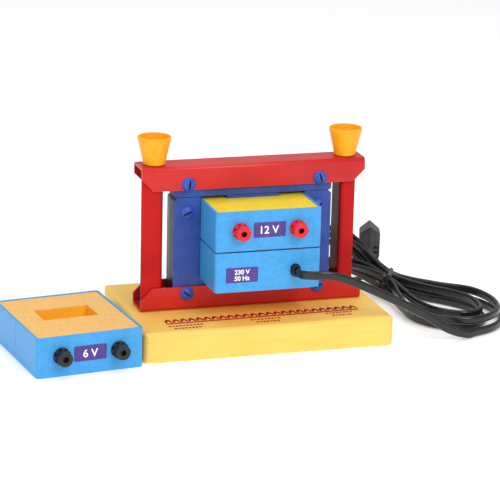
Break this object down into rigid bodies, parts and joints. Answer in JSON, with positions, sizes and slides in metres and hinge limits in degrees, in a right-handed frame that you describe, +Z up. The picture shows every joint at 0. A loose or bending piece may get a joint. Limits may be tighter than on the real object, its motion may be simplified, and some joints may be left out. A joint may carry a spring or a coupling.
{
  "type": "dissectible transformer",
  "caption": "Demonstration transformer on a board: laminated core in a red channel frame, two coils on it, a loose coil beside it and a coiled mains lead.",
  "frame": {"origin": "centre of the board's underside", "axes": "X along the frame towards the mains lead, Y to the back, Z up"},
  "size_m": [0.3643, 0.1889, 0.1439],
  "materials": {
    "cream_paint": "satin paint on a solid board",
    "red_paint": "gloss red paint",
    "blue_paint": "gloss blue paint over laminated steel",
    "blue_screws": "blue paint on steel screws and nuts",
    "bright_steel": "bright zinc plated steel",
    "case_blue": "moulded light blue plastic",
    "bobbin_orange": "moulded orange plastic",
    "enamelled_copper": "wound enamelled copper wire",
    "plate_yellow": "yellow insulating board",
    "plate_tan": "tan insulating board",
    "label_purple": "purple printed plate",
    "knob_yellow": "moulded yellow plastic",
    "terminal_red": "moulded red plastic",
    "terminal_black": "moulded black plastic",
    "brass": "turned brass",
    "black_rubber": "black flexible sheath",
    "pad_board": "pressed insulating board"
  },
  "bodies": {
    "base_frame": {"base_board": "cream_paint", "bottom_channel": "red_paint", "post_left": "red_paint", "post_right": "red_paint", "post_nuts": "bright_steel", "base_screws": "bright_steel", "e_core": "blue_paint", "core_bolts": "blue_screws", "core_nuts": "blue_screws", "mains_case_front": "case_blue", "mains_case_back": "case_blue", "mains_bobbin": "bobbin_orange", "mains_winding": "enamelled_copper", "mains_top_plate": "plate_yellow", "mains_label": "label_purple", "cord_bush": "black_rubber", "cord_free": "black_rubber", "cord_hank": "black_rubber", "cord_tail": "black_rubber", "cord_tie": "black_rubber", "plug_body": "black_rubber", "plug_pins": "brass"},
    "clamp_bar": {"top_channel": "red_paint", "top_yoke": "blue_paint", "yoke_pad": "pad_board", "yoke_bolts": "blue_screws", "yoke_nuts": "blue_screws"},
    "coil_12v": {"case_front_12v": "case_blue", "case_back_12v": "case_blue", "bobbin_12v": "bobbin_orange", "winding_12v": "enamelled_copper", "top_plate_12v": "plate_yellow", "label_12v": "label_purple", "stems_12v": "brass", "collars_12v": "terminal_red"},
    "coil_6v": {"case_front_6v": "case_blue", "case_back_6v": "case_blue", "bobbin_6v": "bobbin_orange", "winding_6v": "enamelled_copper", "top_plate_6v": "plate_tan", "label_6v": "label_purple", "stems_6v": "brass", "collars_6v": "terminal_black"},
    "clamp_stud_left": {"stud_left": "bright_steel"},
    "clamp_knob_left": {"knob_left": "knob_yellow"},
    "clamp_stud_right": {"stud_right": "bright_steel"},
    "clamp_knob_right": {"knob_right": "knob_yellow"},
    "terminal_insert_12v_left": {"insert_12v_left": "brass"},
    "terminal_head_12v_left": {"head_12v_left": "terminal_red"},
    "terminal_insert_12v_right": {"insert_12v_right": "brass"},
    "terminal_head_12v_right": {"head_12v_right": "terminal_red"},
    "terminal_insert_6v_left": {"insert_6v_left": "brass"},
    "terminal_head_6v_left": {"head_6v_left": "terminal_black"},
    "terminal_insert_6v_right": {"insert_6v_right": "brass"},
    "terminal_head_6v_right": {"head_6v_right": "terminal_black"}
  },
  "joints": [
    {"name": "clamp_bar_lift", "type": "slide", "parent": "base_frame", "child": "clamp_bar", "axis": [0, 0, 1], "range_m": [0, 0.1]},
    {"name": "coil_12v_lift", "type": "slide", "parent": "base_frame", "child": "coil_12v", "axis": [0, 0, 1], "range_m": [0, 0.05]},
    {"name": "coil_6v_lift", "type": "slide", "parent": "base_frame", "child": "coil_6v", "axis": [0, 0, 1], "range_m": [0, 0.05]},
    {"name": "knob_left_turn", "type": "hinge", "parent": "clamp_stud_left", "child": "clamp_knob_left", "pos_m": [-0.0692, -0.001, 0.13], "axis": [0, 0, 1], "range_deg": [0, 3600]},
    {"name": "stud_left_rise", "type": "slide", "parent": "clamp_bar", "child": "clamp_stud_left", "axis": [0, 0, 1], "range_m": [0, 0.0101]},
    {"name": "knob_right_turn", "type": "hinge", "parent": "clamp_stud_right", "child": "clamp_knob_right", "pos_m": [0.0692, -0.001, 0.13], "axis": [0, 0, 1], "range_deg": [0, 3600]},
    {"name": "stud_right_rise", "type": "slide", "parent": "clamp_bar", "child": "clamp_stud_right", "axis": [0, 0, 1], "range_m": [0, 0.0101]},
    {"name": "head_12v_left_turn", "type": "hinge", "parent": "terminal_insert_12v_left", "child": "terminal_head_12v_left", "pos_m": [-0.0203, -0.052, 0.08626], "axis": [0, -1, 0], "range_deg": [0, 1085]},
    {"name": "insert_12v_left_slide", "type": "slide", "parent": "coil_12v", "child": "terminal_insert_12v_left", "axis": [0, -1, 0], "range_m": [0, 0.0021]},
    {"name": "head_12v_right_turn", "type": "hinge", "parent": "terminal_insert_12v_right", "child": "terminal_head_12v_right", "pos_m": [0.0203, -0.052, 0.08626], "axis": [0, -1, 0], "range_deg": [0, 1085]},
    {"name": "insert_12v_right_slide", "type": "slide", "parent": "coil_12v", "child": "terminal_insert_12v_right", "axis": [0, -1, 0], "range_m": [0, 0.0021]},
    {"name": "head_6v_left_turn", "type": "hinge", "parent": "terminal_insert_6v_left", "child": "terminal_head_6v_left", "pos_m": [-0.14852, -0.07423, 0.0144], "axis": [0.1219, -0.9925, 0], "range_deg": [0, 1085]},
    {"name": "insert_6v_left_slide", "type": "slide", "parent": "coil_6v", "child": "terminal_insert_6v_left", "axis": [0.1219, -0.9925, 0], "range_m": [0, 0.0021]},
    {"name": "head_6v_right_turn", "type": "hinge", "parent": "terminal_insert_6v_right", "child": "terminal_head_6v_right", "pos_m": [-0.10822, -0.06929, 0.0144], "axis": [0.1219, -0.9925, 0], "range_deg": [0, 1085]},
    {"name": "insert_6v_right_slide", "type": "slide", "parent": "coil_6v", "child": "terminal_insert_6v_right", "axis": [0.1219, -0.9925, 0], "range_m": [0, 0.0021]}
  ],
  "couplings": [
    {"joint": "coil_12v_lift", "follows": "clamp_bar_lift", "ratio": 0.5},
    {"joint": "stud_left_rise", "follows": "knob_left_turn", "m_per_rad": 0.00015915},
    {"joint": "stud_right_rise", "follows": "knob_right_turn", "m_per_rad": 0.00015915},
    {"joint": "head_12v_left_turn", "follows": "insert_12v_left_slide", "rad_per_m": 8976},
    {"joint": "head_12v_right_turn", "follows": "insert_12v_right_slide", "rad_per_m": 8976},
    {"joint": "head_6v_left_turn", "follows": "insert_6v_left_slide", "rad_per_m": 8976},
    {"joint": "head_6v_right_turn", "follows": "insert_6v_right_slide", "rad_per_m": 8976}
  ]
}
